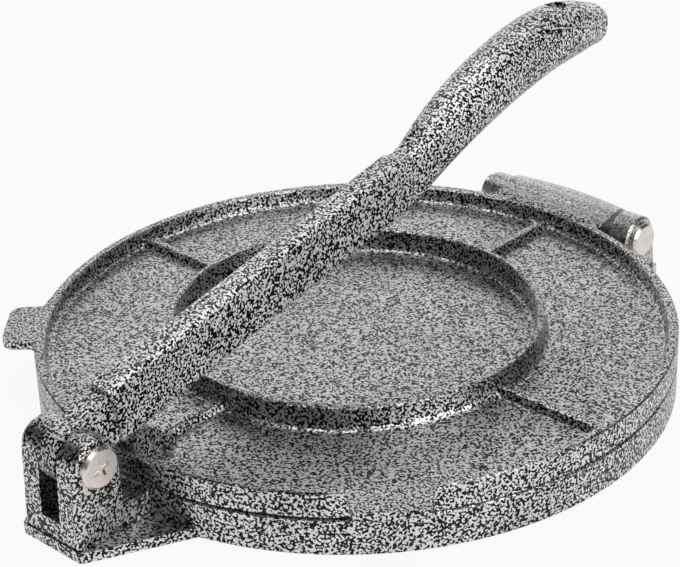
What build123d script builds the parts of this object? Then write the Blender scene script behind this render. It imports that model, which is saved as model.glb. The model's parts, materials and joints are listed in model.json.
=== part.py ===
from build123d import *
import math
import os

# A hand press for tortillas, closed, with its lever lying back over the plates.
# Millimetres. +Z is up, +Y runs from the lever's clevis to the hinge, and +X is to the right
# for someone who stands at the clevis. Each piece is modelled round the axis of the two plates,
# and the last step moves the whole press, so that the origin lies on the table under the middle
# of the press's outline.

# Round plates
plate_radius = 102.0
plate_gap = 0.3
edge_bevel = 0.5

# Lower plate: a flat pressing face, hollow underneath
base_height = 12.0
base_web = 4.5
base_rim_width = 4.5
underside_relief = 1.0

# Upper plate: a flat tray with a rim, a ring and ribs on top
top_height = 8.5
top_web = 3.5
top_rim_width = 3.2

# Ring and ribs that stiffen both plates
ring_radius = 60.2
ring_width = 2.2
ring_height = 7.4
rib_width = 5.6
rib_height = 2.6
rib_count = 4
wall_draft = 0.6
foot_round = 1.8
rib_round = 0.9

# Lift tabs on the upper plate's rim
tab_angle = 48.0
tab_width = 23.4
tab_reach = 10.0
tab_thickness = 2.8
tab_corner = 4.5
tab_root = 2.5

# Clevis and foot at the front of the lower plate
pivot_setback = 16.5
pivot_height = 27.5
clevis_width = 23.6
clevis_slot = 8.0
ear_radius = 8.2
clevis_front_slope = 1.3
clevis_back_slope = 1.2
neck_height = 10.6
slot_floor = 9.4
foot_thickness = 3.4
foot_lip = 0.7
foot_flare = 27.0
clevis_round = 1.2

# Hinge at the back
hinge_setback = 7.5
hinge_height = 16.2
right_ear_radius = 7.9
left_ear_radius = 6.8
hinge_ear_thickness = 8.0
hinge_ear_spacing = 48.4
hinge_back_slope = 1.6
hinge_bridge = 5.0
lug_play = 2.4
lug_side_gap = 0.3
lug_radius = 7.4
lug_back_reach = 9.7
lug_back_round = 6.2
hinge_bevel = 0.8

# Lever
lever_slope = 12.1
bar_rise = 3.0
hub_radius = 8.7
tongue_side_gap = 0.6
shoulder_distance = 15.5
bar_length = 127.5
bar_depth = 19.0
bar_corner = 1.7
bar_half_widths = (4.9, 4.3, 4.1, 4.5)
hang_hole_radius = 3.5
hang_hole_distance = 85.5

# Grip stations: distance beyond the end of the bar, rise over the bar's middle line, half width,
# half height and corner radius, each square to the grip's curved centre line
grip_stations = (
    (11.0, 1.1, 5.6, 8.4, 4.0),
    (22.0, 4.4, 7.3, 9.4, 6.6),
    (34.0, 7.2, 8.5, 10.1, 8.1),
    (47.0, 9.1, 9.0, 10.6, 8.7),
    (61.0, 10.0, 9.2, 10.9, 8.9),
    (75.0, 9.7, 9.2, 10.8, 8.9),
    (88.5, 7.3, 8.9, 9.9, 8.6),
    (97.5, 4.2, 7.8, 8.4, 7.6),
    (107.5, 0.2, 6.6, 6.8, 6.1),
)
grip_end_round = 5.0

# Bearing nose on the upper plate, which the lever presses on
nose_width = 10.4
nose_gap = 0.3
nose_length = 8.0
nose_ramp = 8.0
nose_round = 1.5
nose_setback = 2.8

# Pins: each is a sleeve with a head and a screw that closes it from the other side
lever_pin_radius = 4.0
lever_head_radius = 6.5
hinge_pin_radius = 3.5
hinge_head_radius = 6.0
head_height = 2.0
head_bevel = 0.8
pin_clearance = 0.05
head_gap = 0.05
sleeve_wall = 1.4
sleeve_end_gap = 1.0
screw_tip_gap = 2.0
recess_length = 5.6
recess_width = 1.3
recess_depth = 1.1
recess_turn = 20.0

# Heights and places that follow from the sizes above
top_underside = base_height + plate_gap
rim_top = top_underside + top_height
tray_floor = top_underside + top_web
pivot_y = -(plate_radius + pivot_setback)
hinge_y = plate_radius + hinge_setback
lug_low = -hinge_ear_spacing / 2 + lug_side_gap
lug_high = hinge_ear_spacing / 2 - lug_play
grip_start = shoulder_distance + bar_length


def rounded_outline(corners):
    """A closed outline through (across, up, round) corners, each rounded or left sharp."""
    with BuildSketch() as outline:
        with BuildLine():
            Polyline(*[(across, up) for across, up, _ in corners], close=True)
        make_face()
        for across, up, radius in corners:
            if radius > 0:
                fillet(outline.vertices().sort_by_distance((across, up, 0))[0], radius)
    return outline.sketch


def standing_disc(web, rim_height, rim_width, crest, foot):
    """A round plate with its flat face down on z = 0, and a rim, a ring and ribs standing on its web.

    The walls' feet have the foot round, where it isn't 0, and every upper edge has a narrow bevel.
    """
    rim_inner = plate_radius - rim_width
    ring_inner = ring_radius - ring_width
    outline = rounded_outline(
        (
            (0.0, web, 0),
            (ring_inner - wall_draft, web, foot),
            (ring_inner, crest - edge_bevel, 0),
            (ring_inner + edge_bevel, crest, 0),
            (ring_radius - edge_bevel, crest, 0),
            (ring_radius, crest - edge_bevel, 0),
            (ring_radius + wall_draft, web, foot),
            (rim_inner - wall_draft, web, foot),
            (rim_inner, rim_height - edge_bevel, 0),
            (rim_inner + edge_bevel, rim_height, 0),
            (plate_radius - edge_bevel, rim_height, 0),
            (plate_radius, rim_height - edge_bevel, 0),
            (plate_radius, edge_bevel, 0),
            (plate_radius - edge_bevel, 0.0, 0),
            (0.0, 0.0, 0),
        )
    )
    disc = revolve(Plane.XZ * outline, axis=Axis.Z)
    rib = radial_rib(web, rim_inner)
    for index in range(rib_count):
        disc += rib.rotate(Axis.Z, index * 360.0 / rib_count)
    return disc


def radial_rib(web, rim_inner):
    """One low rounded rib along +X, from the ring to the rim."""
    half = rib_width / 2
    inner_end = ring_radius - ring_width / 2
    outer_end = rim_inner + rib_round
    with BuildPart() as rib:
        with BuildSketch(Plane.YZ.offset(inner_end)):
            with BuildLine():
                FilletPolyline(
                    (-half, web - rib_round),
                    (-half, web),
                    (-half / 2, web + rib_height),
                    (half / 2, web + rib_height),
                    (half, web),
                    (half, web - rib_round),
                    radius=[rib_round / 2, rib_round, rib_round, rib_round / 2],
                )
                Line((half, web - rib_round), (-half, web - rib_round))
            make_face()
        extrude(amount=outer_end - inner_end)
    return rib.part


def side_plate(profile, x_low, x_high):
    """A closed side view in the Y-Z plane, given thickness from x_low to x_high."""
    return extrude(Plane.YZ.offset(x_low) * profile, amount=x_high - x_low)


def arched_ear(centre_y, centre_z, radius, front_y, back_y, foot_z):
    """Side view of an ear: an arch round a pin's centre, on legs that spread towards its foot."""
    left = centre_y - radius
    right = centre_y + radius
    with BuildSketch() as ear:
        with BuildLine():
            Polyline((left, centre_z), (front_y, foot_z), (back_y, foot_z), (right, centre_z))
            ThreePointArc((right, centre_z), (centre_y, centre_z + radius), (left, centre_z))
        make_face()
    return ear.sketch


def pin_hole(radius, y, z, width):
    """A round cutter across the press, centred on x = 0."""
    return Pos(0, y, z) * Rot(0, 90, 0) * Cylinder(radius, width)


def flared_foot(corner_x, corner_y, thickness):
    """A flat foot that widens from its corners on to the round plate, from the table up."""
    run = abs(corner_y) * 0.5
    widening = run * math.tan(math.radians(foot_flare))
    inner_y = corner_y - math.copysign(run, corner_y)
    with BuildSketch() as foot:
        with BuildLine():
            Polyline(
                (-corner_x, corner_y),
                (corner_x, corner_y),
                (corner_x + widening, inner_y),
                (-corner_x - widening, inner_y),
                close=True,
            )
        make_face()
        corners = foot.vertices().sort_by(lambda v: -abs(v.Y))[:2]
        fillet(corners, foot_lip + clevis_round)
    solid = extrude(foot.sketch, amount=thickness)
    return solid - Cylinder(plate_radius - base_rim_width / 2, 4 * thickness)


def clevis():
    """Two ears on a neck, with a slot between them for the lever's tongue."""
    half = clevis_width / 2
    front = pivot_y - ear_radius - clevis_front_slope
    back = pivot_y + ear_radius + clevis_back_slope
    block = side_plate(arched_ear(pivot_y, pivot_height, ear_radius, front, back, 0.0), -half, half)
    slot_height = pivot_height + ear_radius - slot_floor
    slot_middle = slot_floor + slot_height / 2
    slot = Pos(0, pivot_y, slot_middle) * Box(clevis_slot, 4 * ear_radius, slot_height)
    block -= slot
    outer_corners = block.edges().filter_by(lambda e: abs(abs(e.center().X) - half) < 0.01)
    outer_corners = outer_corners.filter_by(lambda e: e.center().Z > foot_thickness)
    block = fillet(outer_corners, clevis_round)
    neck_back = -(plate_radius - base_rim_width)
    neck_front = pivot_y + ear_radius
    neck = Box(clevis_width, neck_back - neck_front, neck_height)
    neck = Pos(0, (neck_front + neck_back) / 2, neck_height / 2) * neck
    block += neck
    block += flared_foot(half + foot_lip, front - foot_lip / 2, foot_thickness)
    return block - pin_hole(lever_pin_radius + pin_clearance, pivot_y, pivot_height, 2 * clevis_width)


def hinge_ears():
    """Two ears, the left one lower, and the low bridge that ties them to the back of the lower plate."""
    inner = hinge_ear_spacing / 2
    outer = inner + hinge_ear_thickness
    back = hinge_y + right_ear_radius + hinge_back_slope
    ears = None
    for side, radius in ((-1, left_ear_radius), (1, right_ear_radius)):
        view = arched_ear(hinge_y, hinge_height, radius, hinge_y - radius, back, 0.0)
        ear = side_plate(view, min(side * inner, side * outer), max(side * inner, side * outer))
        outer_edges = ear.edges().filter_by(lambda e: abs(abs(e.center().X) - outer) < 0.01)
        ear = chamfer(outer_edges.filter_by(lambda e: e.center().Z > foot_thickness), hinge_bevel)
        root_y = math.sqrt(plate_radius**2 - outer**2) - base_rim_width
        root_length = hinge_y - root_y
        root = Box(hinge_ear_thickness, root_length, base_height)
        ear += Pos(side * (inner + outer) / 2, root_y + root_length / 2, base_height / 2) * root
        ears = ear if ears is None else ears + ear
    ears += flared_foot(outer + foot_lip, back, foot_thickness)
    bridge_y = math.sqrt(plate_radius**2 - inner**2) - base_rim_width
    bridge = Box(2 * inner, back - bridge_y, hinge_bridge)
    ears += Pos(0, (back + bridge_y) / 2, hinge_bridge / 2) * bridge
    return ears - pin_hole(hinge_pin_radius + pin_clearance, hinge_y, hinge_height, 4 * outer)


def base_plate():
    crest = base_height - underside_relief
    disc = standing_disc(base_web, base_height, base_rim_width, crest, 0)
    disc = Pos(0, 0, base_height) * Rot(180, 0, 0) * disc
    return disc + clevis() + hinge_ears()


def lift_tabs():
    """Two flat tabs beside the front of the upper plate, level with the top of its rim."""
    reach = plate_radius + tab_reach
    inner = plate_radius - top_rim_width
    places = []
    for side in (-1, 1):
        turn = -90.0 + side * tab_angle
        places.append(Location(Vector((inner + reach) / 2, 0).rotate(Axis.Z, turn), (0, 0, turn)))
    with BuildSketch() as tabs:
        Circle(plate_radius)
        with Locations(places):
            Rectangle(reach - inner, tab_width)
        outer = tabs.vertices().filter_by(lambda v: math.hypot(v.X, v.Y) > plate_radius + tab_root)
        fillet(outer, tab_corner)
        root = tabs.vertices().filter_by(lambda v: abs(math.hypot(v.X, v.Y) - plate_radius) < 0.01)
        root = root.filter_by(lambda v: v.Y < -1.0)
        fillet(root, tab_root)
        Circle(plate_radius - top_rim_width / 2, mode=Mode.SUBTRACT)
    with BuildSketch() as sectors:
        with Locations(places):
            Rectangle(reach - inner, tab_width + 4 * tab_root)
    outline = tabs.sketch & sectors.sketch
    return extrude(Pos(0, 0, rim_top - tab_thickness) * outline, amount=tab_thickness)


def lever_underside(y):
    """Height of the bar's underside over a point y of the press."""
    slope = math.radians(lever_slope)
    along_level = (y - pivot_y) * math.tan(slope)
    return pivot_height + along_level + (bar_rise - bar_depth / 2) / math.cos(slope)


def bearing_nose():
    """A raised pad on the rim under the lever, with a ramp down to the front rib."""
    front = -(plate_radius - nose_setback)
    pad_back = front + nose_length
    ramp_back = pad_back + nose_ramp
    with BuildSketch() as view:
        with BuildLine():
            FilletPolyline(
                (front, tray_floor),
                (front, lever_underside(front) - nose_gap),
                (pad_back, lever_underside(front) - nose_gap),
                (ramp_back, tray_floor + rib_height / 2),
                (ramp_back, tray_floor - rib_round),
                radius=[nose_round, nose_round, rib_round],
            )
            Line((ramp_back, tray_floor - rib_round), (front, tray_floor))
        make_face()
    return side_plate(view.sketch, -nose_width / 2, nose_width / 2)


def hinge_lug():
    """The upper plate's wide barrel between the hinge ears, and the arm that carries it.

    Its back follows the round of the plate, and it lies against the left ear, with its play at the right.
    """
    root_y = plate_radius - top_rim_width
    circle = Pos(hinge_y, hinge_height) * Circle(lug_radius)
    with BuildSketch() as arm:
        with BuildLine():
            Polyline(
                (root_y, top_underside),
                (hinge_y, top_underside),
                (hinge_y, hinge_height + lug_radius),
                (root_y, rim_top),
                close=True,
            )
        make_face()
    lug = side_plate(circle + arm.sketch, lug_low, lug_high)
    back_radius = hinge_y + lug_back_reach
    depth = lug_back_reach + lug_radius
    with BuildSketch() as plan:
        Circle(back_radius)
        with Locations(((lug_low + lug_high) / 2, hinge_y + depth / 2)):
            Rectangle(lug_high - lug_low, depth, mode=Mode.INTERSECT)
    back = extrude(Pos(0, 0, hinge_height - lug_radius) * plan.sketch, amount=2 * lug_radius)
    curved = back.edges().filter_by(GeomType.CIRCLE)
    return lug + fillet(curved, lug_back_round)


def upper_plate():
    crest = top_web + ring_height
    disc = standing_disc(top_web, top_height, top_rim_width, crest, foot_round)
    plate = Pos(0, 0, top_underside) * disc
    plate += lift_tabs()
    plate += bearing_nose()
    plate += hinge_lug()
    plate -= pin_hole(hinge_pin_radius + pin_clearance, hinge_y, hinge_height, 2 * hinge_ear_spacing)
    return plate


def lever_section(distance, height, half_width, half_height, corner, angle):
    """A rounded rectangle square to the lever's centre line, which climbs at the angle."""
    climb = math.radians(angle)
    along = (0, math.cos(climb), math.sin(climb))
    plane = Plane(origin=(0, distance, height), x_dir=(1, 0, 0), z_dir=along)
    return plane * RectangleRounded(2 * half_width, 2 * half_height, corner)


def lever_bar():
    """The straight bar, slightly waisted, from the shoulder to the grip."""
    steps = len(bar_half_widths) - 1
    sections = []
    for index, half_width in enumerate(bar_half_widths):
        distance = shoulder_distance + bar_length * index / steps
        sections.append(lever_section(distance, bar_rise, half_width, bar_depth / 2, bar_corner, 0.0))
    return loft(sections)


def grip_place(station):
    """A grip station's place along and above the lever, from its pivot."""
    return grip_start + station[0], bar_rise + station[1]


def lever_grip():
    """The arched grip, lofted from the end of the bar to its rounded end."""
    centres = [(grip_start, bar_rise)] + [grip_place(station) for station in grip_stations]
    sections = [lever_section(grip_start, bar_rise, bar_half_widths[-1], bar_depth / 2, bar_corner, 0.0)]
    for index, station in enumerate(grip_stations, start=1):
        before = centres[index - 1]
        after = centres[min(index + 1, len(grip_stations))]
        angle = math.degrees(math.atan2(after[1] - before[1], after[0] - before[0]))
        sections.append(lever_section(*centres[index], *station[2:], angle))
    grip = loft(sections)
    end_face = grip.faces().sort_by(Axis.Y)[-1]
    return fillet(end_face.edges(), grip_end_round)


def lever_tongue():
    """The hub on the lever's pin and the flat tongue that joins it to the bar."""
    half = clevis_slot / 2 - tongue_side_gap
    top = bar_rise + bar_depth / 2 - bar_corner
    bottom = bar_rise - bar_depth / 2 + bar_corner
    with BuildSketch() as view:
        Circle(hub_radius)
        with BuildLine():
            Polyline(
                (0.0, -hub_radius),
                (shoulder_distance + bar_corner, bottom),
                (shoulder_distance + bar_corner, top),
                (0.0, hub_radius),
                close=True,
            )
        make_face()
    return side_plate(view.sketch, -half, half)


def hang_hole():
    """A cutter for the hole through the grip, square to its centre line there."""
    nearest = sorted(grip_stations, key=lambda station: abs(station[0] - hang_hole_distance))
    height = grip_place(nearest[0])[1]
    depth = 4 * nearest[0][3]
    first, second = sorted(nearest[:2])
    climb = math.degrees(math.atan2(second[1] - first[1], second[0] - first[0]))
    spot = Pos(0, grip_start + hang_hole_distance, height)
    return spot * Rot(climb, 0, 0) * Cylinder(hang_hole_radius, depth)


def lever():
    arm = lever_tongue() + lever_bar() + lever_grip()
    arm -= Rot(0, 90, 0) * Cylinder(lever_pin_radius + pin_clearance, 4 * bar_depth)
    arm -= hang_hole()
    return Pos(0, pivot_y, pivot_height) * Rot(lever_slope, 0, 0) * arm


def pin_head(head_radius):
    """A low round head, flat side on z = 0."""
    head = Pos(0, 0, head_height / 2) * Cylinder(head_radius, head_height)
    return chamfer(head.edges().sort_by(Axis.Z)[-1], head_bevel)


def pin_sleeve(pin_radius, head_radius, grip_length):
    """A sleeve with a head at z = 0, reaching down through the ears."""
    length = grip_length - sleeve_end_gap
    sleeve = Pos(0, 0, -length / 2) * Cylinder(pin_radius, length)
    bore_length = length - head_height
    bore = Pos(0, 0, -length + bore_length / 2) * Cylinder(pin_radius - sleeve_wall, bore_length)
    return pin_head(head_radius) + sleeve - bore


def pin_screw(pin_radius, head_radius, grip_length):
    """The screw that closes a sleeve, head at z = 0, with a cross recess."""
    radius = pin_radius - sleeve_wall - pin_clearance
    length = grip_length - head_height - screw_tip_gap
    screw = pin_head(head_radius) + Pos(0, 0, -length / 2) * Cylinder(radius, length)
    for turn in (0, 90):
        slot = Box(recess_length, recess_width, 2 * recess_depth)
        screw -= Pos(0, 0, head_height) * Rot(0, 0, recess_turn + turn) * slot
    return screw


def across_press(piece, side, reach, y, z):
    """Turns a pin upright on z = 0 so that its head faces +X or -X at the reach from the middle."""
    return Pos(side * (reach + head_gap), y, z) * Rot(0, side * 90, 0) * piece


def build_press():
    clevis_reach = clevis_width / 2
    hinge_reach = hinge_ear_spacing / 2 + hinge_ear_thickness
    lever_sleeve = pin_sleeve(lever_pin_radius, lever_head_radius, clevis_width)
    lever_screw = pin_screw(lever_pin_radius, lever_head_radius, clevis_width)
    hinge_sleeve = pin_sleeve(hinge_pin_radius, hinge_head_radius, 2 * hinge_reach)
    hinge_screw = pin_screw(hinge_pin_radius, hinge_head_radius, 2 * hinge_reach)
    return {
        "base_plate": base_plate(),
        "upper_plate": upper_plate(),
        "lever": lever(),
        "lever_pin_sleeve": across_press(lever_sleeve, -1, clevis_reach, pivot_y, pivot_height),
        "lever_pin_screw": across_press(lever_screw, 1, clevis_reach, pivot_y, pivot_height),
        "hinge_pin_sleeve": across_press(hinge_sleeve, 1, hinge_reach, hinge_y, hinge_height),
        "hinge_pin_screw": across_press(hinge_screw, -1, hinge_reach, hinge_y, hinge_height),
    }


def main():
    pieces = build_press()
    boxes = [piece.bounding_box() for piece in pieces.values()]
    middle_y = (min(box.min.Y for box in boxes) + max(box.max.Y for box in boxes)) / 2
    os.makedirs("parts", exist_ok=True)
    for name, piece in pieces.items():
        solid = piece.solids()[0]
        export_step(solid.moved(Location((0, -middle_y, 0))), f"parts/{name}.step")
    print(f"plate axis at y = {-middle_y:.4f}")


main()
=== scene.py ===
import bpy
import json
import math
from mathutils import Matrix, Vector

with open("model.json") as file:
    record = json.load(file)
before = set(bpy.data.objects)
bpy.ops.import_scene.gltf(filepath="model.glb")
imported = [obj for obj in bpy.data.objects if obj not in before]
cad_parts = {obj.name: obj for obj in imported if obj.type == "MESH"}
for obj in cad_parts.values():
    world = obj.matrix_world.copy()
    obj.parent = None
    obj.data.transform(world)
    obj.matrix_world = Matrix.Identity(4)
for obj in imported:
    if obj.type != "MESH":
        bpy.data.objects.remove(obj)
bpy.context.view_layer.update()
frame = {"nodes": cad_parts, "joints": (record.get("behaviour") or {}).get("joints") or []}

# Lengths are in metres, angles in degrees and powers in watts. A span is four numbers: where the
# change starts and ends, and the value before and after it. Noise runs from 0 to 1, about 0.5.

# Camera, fitted to the plates' rims in the photograph. It looks along a line that passes the plates'
# axis on the table at camera_right and camera_up. Blender has the sensor in millimetres.
photo_width_pixels = 680
camera_focal_pixels = 2084.94
camera_azimuth = 44.04
camera_elevation = 27.58
camera_roll = -2.24
camera_distance = 0.67458
camera_right = -0.00445
camera_up = 0.02924
camera_clip = (0.01, 50.0)
sensor_width = 36.0

# Distance from the plates' axis to the hinge's axis
hinge_distance = 0.1095

# Hammertone paint: on the walls light islands with dark veins, on the flats a finer speckle. The
# veins are fully metallic, and across the islands' edge that turns into the paint's own share.
island_noise = {"size": 0.00077, "detail": 0.5, "roughness": 0.45, "distortion": 0.4}
island_stops = (0.467, 0.50, 0.532)
island_edge = (0.46, 0.53)
speckle_noise = {"size": 0.00074, "detail": 0.4, "roughness": 0.5, "distortion": 0.5}
speckle_stops = (0.44, 0.54)
speckle_colours = ((0.010, 0.010, 0.010, 1.0), (0.66, 0.655, 0.645, 1.0))
cloud_noise = {"size": 0.030}
cloud_span = (0.3, 0.7, 0.86, 1.06)
paint_roughness_span = (0.42, 0.56, 0.40, 0.28)
dimple_depth = 0.0004
dimple_strength = 0.6
speckle_relief = 0.65
coat_roughness = 0.12

# What differs between the plates and the lever: the colours from vein to island, how metallic the
# islands are, the clear coat, and how much of the speckle there is as a face turns level. The
# lever's paler islands and darker veins are painted light and painted shade on its lit sides.
plates_paint = {
    "colours": ((0.010, 0.010, 0.011, 1.0), (0.17, 0.17, 0.17, 1.0), (0.82, 0.82, 0.815, 1.0)),
    "metallic": 1.0,
    "coat": 0.3,
    "level_span": (0.60, 0.90, 0.0, 1.0),
    "fine_and_painted_light_at_hinge": True,
}
# The lever's copy of the paint: paler islands and darker veins, painted light and painted shade
lever_paint_with_painted_light = {
    "colours": ((0.004, 0.004, 0.005, 1.0), (0.14, 0.14, 0.14, 1.0), (0.98, 0.98, 0.975, 1.0)),
    "metallic": 0.25,
    "coat": 0.25,
    "level_span": (0.60, 1.0, 0.0, 0.15),
    "fine_and_painted_light_at_hinge": False,
}

# Hinge, where the plates' paint is speckled all round and paler; the paler tone is painted light on
# the lug and ears
hinge_reach = 0.0088
hinge_fade = 0.002
hinge_painted_light_tone = (0.72, 0.715, 0.70, 1.0)
hinge_painted_light_share = 0.40

# Plated pin heads
stain_noise = {"size": 0.006}
stain_stops = (0.30, 0.62)
stain_colours = ((0.72, 0.66, 0.62, 1.0), (0.86, 0.79, 0.75, 1.0))
scuff_noise = {"size": 0.0012, "detail": 4.0, "roughness": 0.65, "distortion": 0.4}
scuff_roughness_span = (0.35, 0.65, 0.18, 0.30)
scuff_depth = 0.00004
scuff_strength = 0.12

# Floor: how much of it camera rays and mirrored rays see as plain white
white = (1.0, 1.0, 1.0, 1.0)
floor_colour = (0.60, 0.60, 0.60, 1.0)
floor_size = 6.0
floor_drop = 0.0002
floor_glow = 0.93
floor_mirrored = 0.64

# Tent of light: its brightness from behind the press towards the camera, times its brightness from
# low to overhead. The camera itself sees the backdrop instead.
tent_forward_span = (-0.86, -0.50, 1.1, 0.10)
tent_upward_span = (0.40, 0.85, 1.05, 0.30)
backdrop_glow = 0.97

# Lamps: square ones, of this side, all turned to one point
lamp_target = (0.0, 0.0, 0.03)
lamps = {
    "overhead": {"spot": (-0.05, 0.05, 1.0), "side": 1.1, "power": 6.6},
    "right_side": {"spot": (0.95, -0.10, 0.50), "side": 0.8, "power": 5.2},
}


def joint_position(name):
    """A point on the axis of a joint of the frame."""
    for joint in frame["joints"]:
        if joint["name"] == name:
            return Vector(joint["pos_m"])
    raise ValueError(name)


def place_camera():
    """The camera of the photograph, set from the plates' axis on the table."""
    azimuth = math.radians(camera_azimuth)
    elevation = math.radians(camera_elevation)
    roll = math.radians(camera_roll)
    flat = math.cos(elevation)
    back = Vector((math.sin(azimuth) * flat, -math.cos(azimuth) * flat, math.sin(elevation)))
    level_right = Vector((math.cos(azimuth), math.sin(azimuth), 0.0))
    level_up = back.cross(level_right)
    right = level_right * math.cos(roll) + level_up * math.sin(roll)
    up = level_up * math.cos(roll) - level_right * math.sin(roll)
    turn = Matrix((right, up, back)).transposed().to_4x4()
    spot = Vector((0.0, joint_position("plate_swing").y - hinge_distance, 0.0))
    spot += back * camera_distance + level_right * camera_right + level_up * camera_up

    data = bpy.data.cameras.new("camera")
    data.sensor_width = sensor_width
    data.lens = camera_focal_pixels * sensor_width / photo_width_pixels
    data.clip_start, data.clip_end = camera_clip
    camera = bpy.data.objects.new("camera", data)
    camera.matrix_world = Matrix.Translation(spot) @ turn
    bpy.context.scene.collection.objects.link(camera)
    bpy.context.scene.camera = camera


class Nodes:
    """Builds the node tree of a material or of the world."""

    def __init__(self, owner):
        owner.use_nodes = True
        self.owner = owner
        self.tree = owner.node_tree
        self.tree.nodes.clear()

    def put(self, value, socket):
        """Sets a number or colour on a socket, or links another node's output to it."""
        if isinstance(value, bpy.types.NodeSocket):
            self.tree.links.new(value, socket)
        else:
            socket.default_value = value

    def add(self, kind, inputs=None, **settings):
        node = self.tree.nodes.new(kind)
        for name, value in settings.items():
            setattr(node, name, value)
        for key, value in (inputs or {}).items():
            self.put(value, node.inputs[key])
        return node

    def maths(self, operation, *values):
        node = self.add("ShaderNodeMath", dict(enumerate(values)), operation=operation)
        return node.outputs["Value"]

    def part(self, vector, axis):
        """One of a vector's three numbers."""
        return self.add("ShaderNodeSeparateXYZ", {"Vector": vector}).outputs[axis]

    def noise(self, vector, size, detail=2.0, roughness=0.5, distortion=0.0):
        """Noise whose lumps are about this size."""
        inputs = {
            "Vector": vector,
            "Scale": 1.0 / size,
            "Detail": detail,
            "Roughness": roughness,
            "Distortion": distortion,
        }
        return self.add("ShaderNodeTexNoise", inputs).outputs["Fac"]

    def span(self, factor, start, end, before, after):
        """A smooth change from one value to another while the factor goes from start to end."""
        inputs = {
            "Value": factor,
            "From Min": start,
            "From Max": end,
            "To Min": before,
            "To Max": after,
        }
        return self.add("ShaderNodeMapRange", inputs, interpolation_type="SMOOTHSTEP").outputs[0]

    def ramp(self, factor, stops, colours, interpolation="LINEAR"):
        node = self.add("ShaderNodeValToRGB", {"Fac": factor})
        band = node.color_ramp
        band.interpolation = interpolation
        while len(band.elements) < len(stops):
            band.elements.new(stops[-1])
        for element, stop, colour in zip(band.elements, stops, colours):
            element.position = stop
            element.color = colour
        return node.outputs["Color"]

    def mix(self, factor, first, second, blend_type="MIX"):
        """Two colours mixed. Inputs 0, 6 and 7 are the node's factor and its pair of colours."""
        inputs = {0: factor, 6: first, 7: second}
        node = self.add("ShaderNodeMix", inputs, data_type="RGBA", blend_type=blend_type)
        return node.outputs[2]

    def bump(self, height, distance, strength):
        inputs = {"Height": height, "Distance": distance, "Strength": strength}
        return self.add("ShaderNodeBump", inputs).outputs["Normal"]

    def mix_shaders(self, factor, first, second):
        inputs = {0: factor, 1: first.outputs[0], 2: second.outputs[0]}
        return self.add("ShaderNodeMixShader", inputs)

    def finish(self, shader, output="ShaderNodeOutputMaterial"):
        self.add(output, {"Surface": shader.outputs[0]})
        return self.owner


def hinge_share(nodes, point):
    """One on the hinge's lug and ears, nothing elsewhere on the plates."""
    front = joint_position("plate_swing").y - hinge_reach
    return nodes.span(nodes.part(point, "Y"), front, front + hinge_fade, 0.0, 1.0)


def hammertone_paint(name, colours, metallic, coat, level_span, fine_and_painted_light_at_hinge):
    """Silver-grey paint that has drawn back into light islands, finer where it lies level."""
    nodes = Nodes(bpy.data.materials.new(name))
    place = nodes.add("ShaderNodeTexCoord")
    point = place.outputs["Object"]
    islands = nodes.noise(point, **island_noise)
    speckle = nodes.noise(point, **speckle_noise)
    cloud = nodes.noise(point, **cloud_noise)
    level = nodes.maths("ABSOLUTE", nodes.part(place.outputs["Normal"], "Z"))
    speckle_share = nodes.span(level, *level_span)

    veined = nodes.ramp(islands, island_stops, colours, "EASE")
    speckled = nodes.ramp(speckle, speckle_stops, speckle_colours)
    # Finer speckle on the hinge, and a paler tone there that is painted light
    if fine_and_painted_light_at_hinge:
        hinge = hinge_share(nodes, point)
        speckle_share = nodes.maths("MAXIMUM", speckle_share, hinge)
        painted_light_share = nodes.maths("MULTIPLY", hinge, hinge_painted_light_share)
        speckled = nodes.mix(painted_light_share, speckled, hinge_painted_light_tone)
    colour = nodes.mix(speckle_share, veined, speckled)
    colour = nodes.mix(1.0, colour, nodes.span(cloud, *cloud_span), "MULTIPLY")

    relief = nodes.maths("MULTIPLY", speckle, speckle_relief)
    height = nodes.mix(speckle_share, islands, relief)
    shader = nodes.add("ShaderNodeBsdfPrincipled", {
        "Base Color": colour,
        "Metallic": metallic,
        "Roughness": nodes.span(islands, *paint_roughness_span),
        "Normal": nodes.bump(height, dimple_depth, dimple_strength),
        "Coat Weight": coat,
        "Coat Roughness": coat_roughness,
    })
    if metallic < 1.0:
        from_veins = nodes.span(islands, *island_edge, 1.0, metallic)
        nodes.put(from_veins, shader.inputs["Metallic"])
    return nodes.finish(shader)


def plated_steel():
    """Nickel plate with a warm cast, faint stains and small scuffs."""
    nodes = Nodes(bpy.data.materials.new("plated_steel"))
    point = nodes.add("ShaderNodeTexCoord").outputs["Object"]
    scuffs = nodes.noise(point, **scuff_noise)
    stains = nodes.noise(point, **stain_noise)
    shader = nodes.add("ShaderNodeBsdfPrincipled", {
        "Base Color": nodes.ramp(stains, stain_stops, stain_colours),
        "Metallic": 1.0,
        "Roughness": nodes.span(scuffs, *scuff_roughness_span),
        "Normal": nodes.bump(scuffs, scuff_depth, scuff_strength),
    })
    return nodes.finish(shader)


def stage_white():
    """Pale floor that the camera sees as nearly white, while the press's shadow still shows."""
    nodes = Nodes(bpy.data.materials.new("stage_white"))
    path = nodes.add("ShaderNodeLightPath")
    direct = nodes.maths("MULTIPLY", path.outputs["Is Camera Ray"], floor_glow)
    mirrored = nodes.maths("MULTIPLY", path.outputs["Is Glossy Ray"], floor_mirrored)
    matte = nodes.add("ShaderNodeBsdfDiffuse", {"Color": floor_colour})
    glow = nodes.add("ShaderNodeEmission", {"Color": white})
    return nodes.finish(nodes.mix_shaders(nodes.maths("ADD", direct, mirrored), matte, glow))


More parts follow.
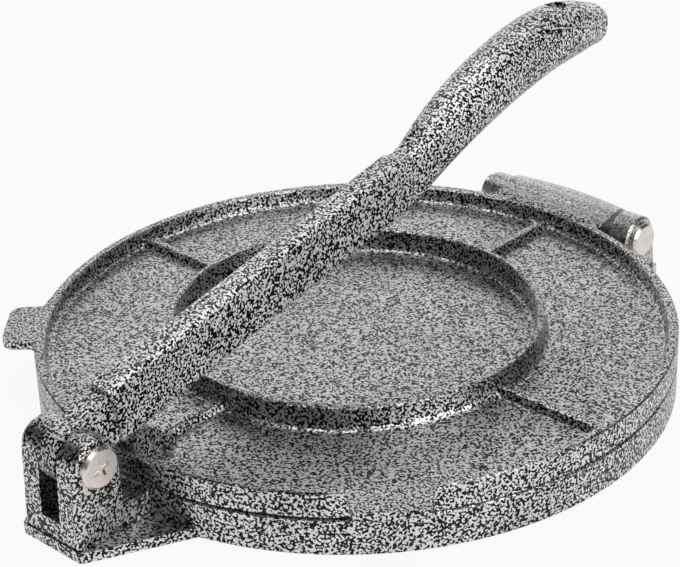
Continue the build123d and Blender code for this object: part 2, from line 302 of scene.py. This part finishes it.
def paint_frame():
    """Plating on the pins, and hammertone on the plates and, in colours with painted light and
    shade, the lever.
    """
    plates = hammertone_paint("hammertone_plates", **plates_paint)
    lever = hammertone_paint("hammertone_lever_painted_light", **lever_paint_with_painted_light)
    steel = plated_steel()
    for name, node in frame["nodes"].items():
        material = steel if "_pin_" in name else lever if name == "lever" else plates
        node.data.materials.clear()
        node.data.materials.append(material)


def lay_floor():
    """A flat floor just under the press's foot."""
    bpy.ops.mesh.primitive_plane_add(size=floor_size, location=(0.0, 0.0, -floor_drop))
    floor = bpy.context.object
    floor.name = "floor"
    floor.data.materials.append(stage_white())


def build_world():
    """A white tent, bright behind the press, dim overhead and round the camera."""
    nodes = Nodes(bpy.data.worlds.new("studio"))
    direction = nodes.add("ShaderNodeTexCoord").outputs["Generated"]
    azimuth = math.radians(camera_azimuth)
    across = nodes.maths("MULTIPLY", nodes.part(direction, "X"), math.sin(azimuth))
    along = nodes.maths("MULTIPLY", nodes.part(direction, "Y"), -math.cos(azimuth))
    forward = nodes.span(nodes.maths("ADD", across, along), *tent_forward_span)
    upward = nodes.span(nodes.part(direction, "Z"), *tent_upward_span)
    strength = nodes.maths("MULTIPLY", forward, upward)
    tent = nodes.add("ShaderNodeBackground", {"Color": white, "Strength": strength})
    backdrop = nodes.add("ShaderNodeBackground", {"Color": white, "Strength": backdrop_glow})
    seen = nodes.add("ShaderNodeLightPath").outputs["Is Camera Ray"]
    shader = nodes.mix_shaders(seen, tent, backdrop)
    bpy.context.scene.world = nodes.finish(shader, "ShaderNodeOutputWorld")


def hang_lamp(name, spot, side, power):
    """A square lamp that faces the press."""
    data = bpy.data.lights.new(name, "AREA")
    data.shape = "SQUARE"
    data.size = side
    data.energy = power
    lamp = bpy.data.objects.new(name, data)
    lamp.location = spot
    lamp.rotation_mode = "QUATERNION"
    lamp.rotation_quaternion = (Vector(lamp_target) - Vector(spot)).to_track_quat("-Z", "Y")
    bpy.context.scene.collection.objects.link(lamp)


bpy.context.scene.view_settings.view_transform = "Standard"
place_camera()
paint_frame()
lay_floor()
build_world()
for lamp_name, lamp in lamps.items():
    hang_lamp(lamp_name, **lamp)
